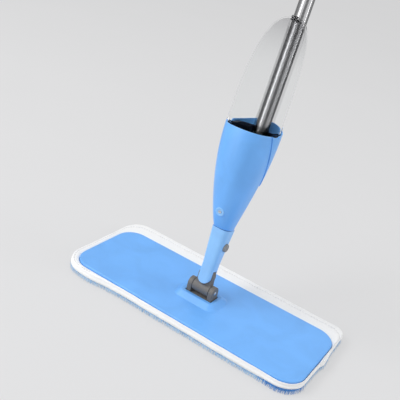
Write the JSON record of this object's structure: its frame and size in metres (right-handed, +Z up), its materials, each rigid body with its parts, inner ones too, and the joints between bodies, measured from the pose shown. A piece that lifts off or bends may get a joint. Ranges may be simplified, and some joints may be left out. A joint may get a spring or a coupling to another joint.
{
  "type": "flat mop",
  "caption": "Flat mop with a microfibre pad on a hinged plate, a trigger in the grip that pumps spray from a clear bottle on the pole through a nozzle at the front.",
  "frame": {"origin": "on the pad's underside, on the floor, below the centre of the pitch pin", "axes": "+X along the head's long side, -Y to the front where the nozzle sprays, +Z up from the floor"},
  "size_m": [0.379, 0.3836, 1.2097],
  "materials": {
    "blue_plastic": "satin moulded",
    "pale_blue_plastic": "satin moulded",
    "grey_plastic": "fine matt",
    "navy_plastic": "satin moulded",
    "clear_plastic": "clear, polished",
    "hose_vinyl": "smooth",
    "white_fabric": "woven",
    "blue_pile": "microfibre pile",
    "hook_tape": "hook tape",
    "steel": "brushed",
    "dark_rubber": "matt"
  },
  "bodies": {
    "handle": {"neck": "pale_blue_plastic", "neck_button_spring": "steel", "housing_front": "blue_plastic", "housing_rear": "blue_plastic", "housing_screw_1": "steel", "housing_screw_2": "steel", "nozzle_body": "pale_blue_plastic", "nozzle_insert": "grey_plastic", "outlet_valve": "dark_rubber", "bottle_seat": "navy_plastic", "seat_seal": "dark_rubber", "pump_body": "navy_plastic", "pump_head": "navy_plastic", "pump_spring": "steel", "inlet_hose": "hose_vinyl", "inlet_valve": "dark_rubber", "outlet_hose": "hose_vinyl", "roll_pin": "steel", "pole_lower": "steel", "pole_upper": "steel", "pole_joiner": "navy_plastic", "pole_button_spring": "steel", "grip_left": "blue_plastic", "grip_right": "blue_plastic", "grip_screw_1": "steel", "grip_screw_2": "steel", "grip_screw_3": "steel", "trigger_pin": "steel", "hang_cap": "grey_plastic"},
    "yoke": {"joint_yoke": "grey_plastic"},
    "head": {"pad_pile": "blue_pile", "pad_backing": "white_fabric", "hook_strip_front": "hook_tape", "hook_strip_rear": "hook_tape", "plate_sole": "blue_plastic", "base_plate": "blue_plastic", "pivot_bracket": "grey_plastic", "pitch_pin": "steel", "bracket_screw_1": "steel", "bracket_screw_2": "steel", "bracket_screw_3": "steel", "bracket_screw_4": "steel"},
    "neck_button": {"neck_button": "grey_plastic"},
    "bottle": {"bottle": "clear_plastic", "bottle_vent": "dark_rubber"},
    "cap": {"bottle_cap": "navy_plastic", "cap_seal": "dark_rubber", "cap_valve": "dark_rubber"},
    "plunger": {"push_rod": "steel", "pump_piston": "grey_plastic"},
    "trigger": {"trigger": "grey_plastic"},
    "pole_button": {"pole_button": "steel"}
  },
  "joints": [
    {"name": "head_roll", "type": "hinge", "parent": "handle", "child": "yoke", "pos_m": [0, 0.00448, 0.05145], "axis": [0, 0.9703, -0.2419], "range_deg": [-70, 70]},
    {"name": "head_pitch", "type": "hinge", "parent": "yoke", "child": "head", "pos_m": [0, 0, 0.0335], "axis": [1, 0, 0], "range_deg": [-75, 62]},
    {"name": "neck_button_press", "type": "slide", "parent": "handle", "child": "neck_button", "axis": [-1, 0, 0], "range_m": [0, 0.0053], "stiffness_N_per_m": 600, "springref_m": -0.003, "deforming": ["neck_button_spring"]},
    {"name": "bottle_lift", "type": "slide", "parent": "handle", "child": "bottle", "axis": [0, 0.2419, 0.9703], "range_m": [0, 0.105]},
    {"name": "cap_turn", "type": "hinge", "parent": "bottle", "child": "cap", "pos_m": [0, 0.021, 0.18801], "axis": [0, 0.2419, 0.9703], "range_deg": [0, 270]},
    {"name": "pump_stroke", "type": "slide", "parent": "handle", "child": "plunger", "axis": [0, -0.2419, -0.9703], "range_m": [0, 0.0058], "stiffness_N_per_m": 400, "springref_m": -0.02, "deforming": ["pump_spring"]},
    {"name": "trigger_squeeze", "type": "hinge", "parent": "handle", "child": "trigger", "pos_m": [0, 0.22906, 1.01009], "axis": [-1, 0, 0], "range_deg": [0, 14]},
    {"name": "pole_button_press", "type": "slide", "parent": "handle", "child": "pole_button", "axis": [0, -0.9703, 0.2419], "range_m": [0, 0.0024], "stiffness_N_per_m": 600, "springref_m": -0.003, "deforming": ["pole_button_spring"]}
  ],
  "couplings": [
    {"joint": "trigger_squeeze", "follows": "pump_stroke", "rad_per_m": 42.119}
  ]
}
